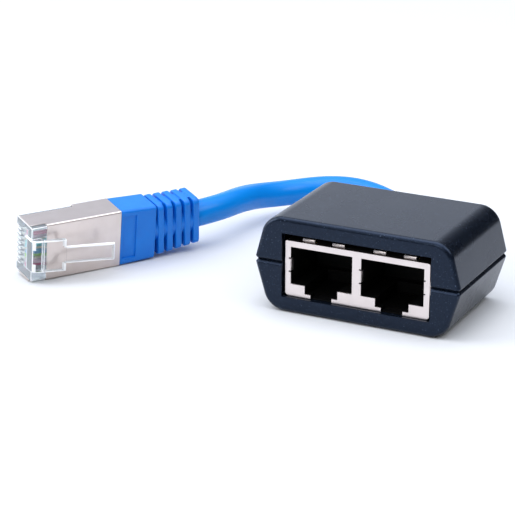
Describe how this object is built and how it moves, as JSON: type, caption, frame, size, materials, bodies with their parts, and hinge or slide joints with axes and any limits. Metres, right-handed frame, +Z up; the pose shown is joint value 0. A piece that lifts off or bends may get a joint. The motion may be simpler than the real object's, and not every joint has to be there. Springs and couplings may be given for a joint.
{
  "type": "rj45 splitter adapter",
  "caption": "Network splitter adapter: a small moulded housing with shielded jacks side by side in its front, and a short cable from its back to a shielded plug with a clear latch.",
  "frame": {"origin": "middle of the housing's flat base, under the housing's centre", "axes": "+Z up from the base, -Y out of the jack openings, +Y to the cable outlet, +X to the right-hand jack seen from the front"},
  "size_m": [0.089, 0.0691, 0.0182],
  "materials": {
    "housing_plastic": "fine spark-eroded texture",
    "screw_steel": "zinc plated",
    "board_laminate": "solder mask",
    "jack_shield_metal": "tin plated",
    "jack_plastic": "moulded",
    "contact_gold": "gold plated",
    "grommet_rubber": "matt",
    "tie_nylon": "natural",
    "cable_jacket": "smooth",
    "boot_plastic": "satin moulded",
    "clear_plastic": "clear",
    "plug_shield_metal": "nickel plated",
    "wire_white_orange": "insulation",
    "wire_orange": "insulation",
    "wire_white_green": "insulation",
    "wire_blue": "insulation",
    "wire_white_blue": "insulation",
    "wire_green": "insulation",
    "wire_white_brown": "insulation",
    "wire_brown": "insulation"
  },
  "bodies": {
    "root": {"upper_shell": "housing_plastic", "lower_shell": "housing_plastic", "shell_screws": "screw_steel", "circuit_board": "board_laminate", "jack_shield": "jack_shield_metal", "jack_housing": "jack_plastic", "left_contact_block": "jack_plastic", "right_contact_block": "jack_plastic", "cable_grommet": "grommet_rubber", "cable_tie": "tie_nylon", "cable": "cable_jacket", "plug_body": "clear_plastic", "plug_shield": "plug_shield_metal", "boot": "boot_plastic", "left_contact_1": "contact_gold", "right_contact_1": "contact_gold", "plug_contact_1": "contact_gold", "plug_wire_1": "wire_white_orange", "board_wire_1": "wire_white_orange", "left_contact_2": "contact_gold", "right_contact_2": "contact_gold", "plug_contact_2": "contact_gold", "plug_wire_2": "wire_orange", "board_wire_2": "wire_orange", "left_contact_3": "contact_gold", "right_contact_3": "contact_gold", "plug_contact_3": "contact_gold", "plug_wire_3": "wire_white_green", "board_wire_3": "wire_white_green", "left_contact_4": "contact_gold", "right_contact_4": "contact_gold", "plug_contact_4": "contact_gold", "plug_wire_4": "wire_blue", "board_wire_4": "wire_blue", "left_contact_5": "contact_gold", "right_contact_5": "contact_gold", "plug_contact_5": "contact_gold", "plug_wire_5": "wire_white_blue", "board_wire_5": "wire_white_blue", "left_contact_6": "contact_gold", "right_contact_6": "contact_gold", "plug_contact_6": "contact_gold", "plug_wire_6": "wire_green", "board_wire_6": "wire_green", "left_contact_7": "contact_gold", "right_contact_7": "contact_gold", "plug_contact_7": "contact_gold", "plug_wire_7": "wire_white_brown", "board_wire_7": "wire_white_brown", "left_contact_8": "contact_gold", "right_contact_8": "contact_gold", "plug_contact_8": "contact_gold", "plug_wire_8": "wire_brown", "board_wire_8": "wire_brown"}
  },
  "joints": []
}
